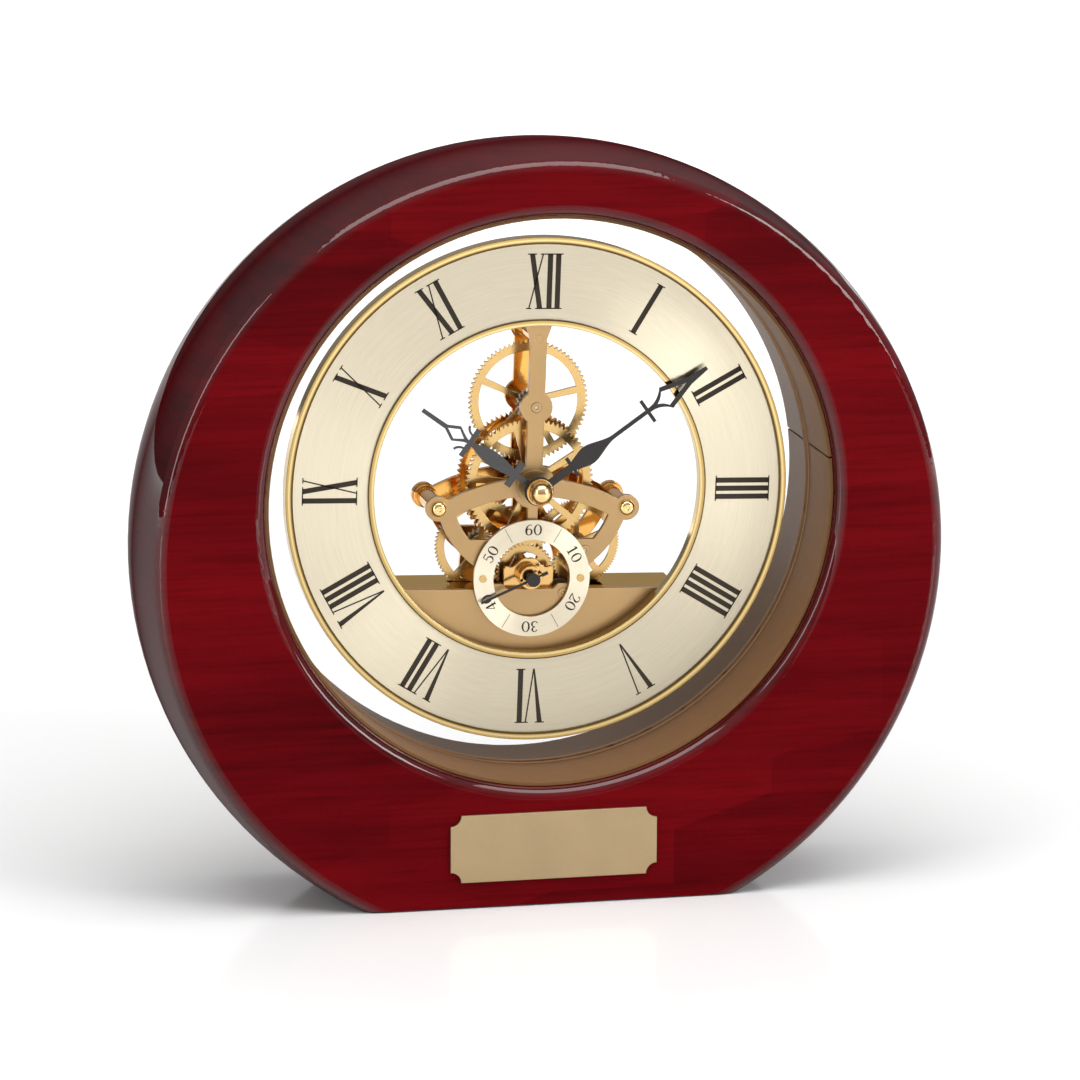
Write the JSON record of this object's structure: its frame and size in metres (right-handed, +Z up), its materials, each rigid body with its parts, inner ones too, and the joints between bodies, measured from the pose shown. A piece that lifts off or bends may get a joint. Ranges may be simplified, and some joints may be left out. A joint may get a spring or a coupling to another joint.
{
  "type": "mantel clock",
  "caption": "Round lacquered wooden mantel clock with a flat foot, an offset bore with a see-through dial, and an open battery-driven wheel train that drives hour, minute and seconds hands.",
  "frame": {"origin": "centre of the bounding box on the plane that the clock stands on", "axes": "+Z up, -Y out of the dial, +X to the right as seen from the front"},
  "size_m": [0.2032, 0.0475, 0.1892],
  "materials": {
    "rosewood": "gloss lacquer over dark striped veneer",
    "felt": "felt",
    "bore_liner": "satin lining",
    "clear": "polished clear acrylic or glass",
    "bronze_plate": "satin bronze-coloured plate, bare",
    "champagne": "circular brushed champagne",
    "gold": "polished gold plate",
    "satin_gold": "satin gold-plated plate with polished edges",
    "amber_gold": "mirror gold plate",
    "black": "satin black",
    "steel": "turned steel",
    "housing": "gold-plated housing",
    "battery_jacket": "plain jacket",
    "board": "circuit board",
    "copper": "enamelled wire",
    "magnet": "magnet"
  },
  "bodies": {
    "case_and_frame": {"base_housing": "housing", "battery": "battery_jacket", "battery_contacts": "steel", "case_body": "rosewood", "circuit_board": "board", "clamp_ring": "satin_gold", "clamp_screws": "steel", "clear_disc": "clear", "dial_bezel": "gold", "dial_ring": "champagne", "felt_strips": "felt", "front_pillar_screws": "gold", "front_pivot_bushes": "gold", "front_plate": "satin_gold", "hub_bush": "gold", "idler_stud": "steel", "inner_rim": "gold", "leg_screws": "gold", "liner_front": "bore_liner", "liner_rear": "bore_liner", "motor_coil": "copper", "motor_stator": "steel", "name_plaque": "bronze_plate", "pillar_left": "amber_gold", "pillar_right": "amber_gold", "pillar_top": "amber_gold", "plate_screws": "steel", "rear_pillar_screws": "gold", "rear_pivot_bushes": "gold", "rear_plate": "amber_gold", "seconds_bridge": "amber_gold", "seconds_dial": "champagne", "seconds_dial_rivets": "gold"},
    "seconds_train": {"seconds_arbor": "steel", "seconds_wheel": "gold", "seconds_hand": "black"},
    "centre_train": {"centre_arbor": "steel", "centre_wheel": "amber_gold", "cannon_pinion": "gold", "minute_hand": "black", "cap_nut": "gold", "setting_knob": "gold"},
    "hour_train": {"hour_wheel": "gold", "hour_pipe": "gold", "hour_hand": "black"},
    "motion_work": {"motion_wheel": "gold", "motion_arbor": "steel"},
    "third_train": {"third_wheel": "gold", "third_arbor": "steel"},
    "fast_train": {"fast_wheel": "gold", "fast_arbor": "steel"},
    "idler": {"idler_gear": "gold"},
    "rotor": {"rotor_pinion": "gold", "rotor_magnet": "magnet"},
    "battery_door": {"battery_door": "housing"}
  },
  "joints": [
    {"name": "seconds_turn", "type": "hinge", "parent": "case_and_frame", "child": "seconds_train", "pos_m": [-0.00074, 0, 0.07832], "axis": [0, 1, 0], "continuous": true},
    {"name": "minute_turn", "type": "hinge", "parent": "case_and_frame", "child": "centre_train", "pos_m": [0, 0, 0.1014], "axis": [0, 1, 0], "continuous": true},
    {"name": "hour_turn", "type": "hinge", "parent": "case_and_frame", "child": "hour_train", "pos_m": [0, 0, 0.1014], "axis": [0, 1, 0], "continuous": true},
    {"name": "motion_work_turn", "type": "hinge", "parent": "case_and_frame", "child": "motion_work", "pos_m": [0.00064, 0, 0.12139], "axis": [0, 1, 0], "continuous": true},
    {"name": "third_wheel_turn", "type": "hinge", "parent": "case_and_frame", "child": "third_train", "pos_m": [-0.0114, 0, 0.08497], "axis": [0, 1, 0], "continuous": true},
    {"name": "fast_wheel_turn", "type": "hinge", "parent": "case_and_frame", "child": "fast_train", "pos_m": [0.01317, 0, 0.08457], "axis": [0, 1, 0], "continuous": true},
    {"name": "idler_turn", "type": "hinge", "parent": "case_and_frame", "child": "idler", "pos_m": [0.00996, 0, 0.07979], "axis": [0, 1, 0], "continuous": true},
    {"name": "rotor_turn", "type": "hinge", "parent": "case_and_frame", "child": "rotor", "pos_m": [0.00762, 0, 0.07393], "axis": [0, 1, 0], "continuous": true},
    {"name": "battery_door_off", "type": "slide", "parent": "case_and_frame", "child": "battery_door", "axis": [0, 1, 0], "range_m": [0, 0.03]}
  ],
  "couplings": [
    {"joint": "minute_turn", "follows": "seconds_turn", "ratio": 0.016667},
    {"joint": "hour_turn", "follows": "seconds_turn", "ratio": 0.0013889},
    {"joint": "motion_work_turn", "follows": "seconds_turn", "ratio": -0.0055556},
    {"joint": "third_wheel_turn", "follows": "seconds_turn", "ratio": -0.083333},
    {"joint": "fast_wheel_turn", "follows": "seconds_turn", "ratio": 3.3333},
    {"joint": "idler_turn", "follows": "seconds_turn", "ratio": -2},
    {"joint": "rotor_turn", "follows": "seconds_turn", "ratio": -30}
  ]
}
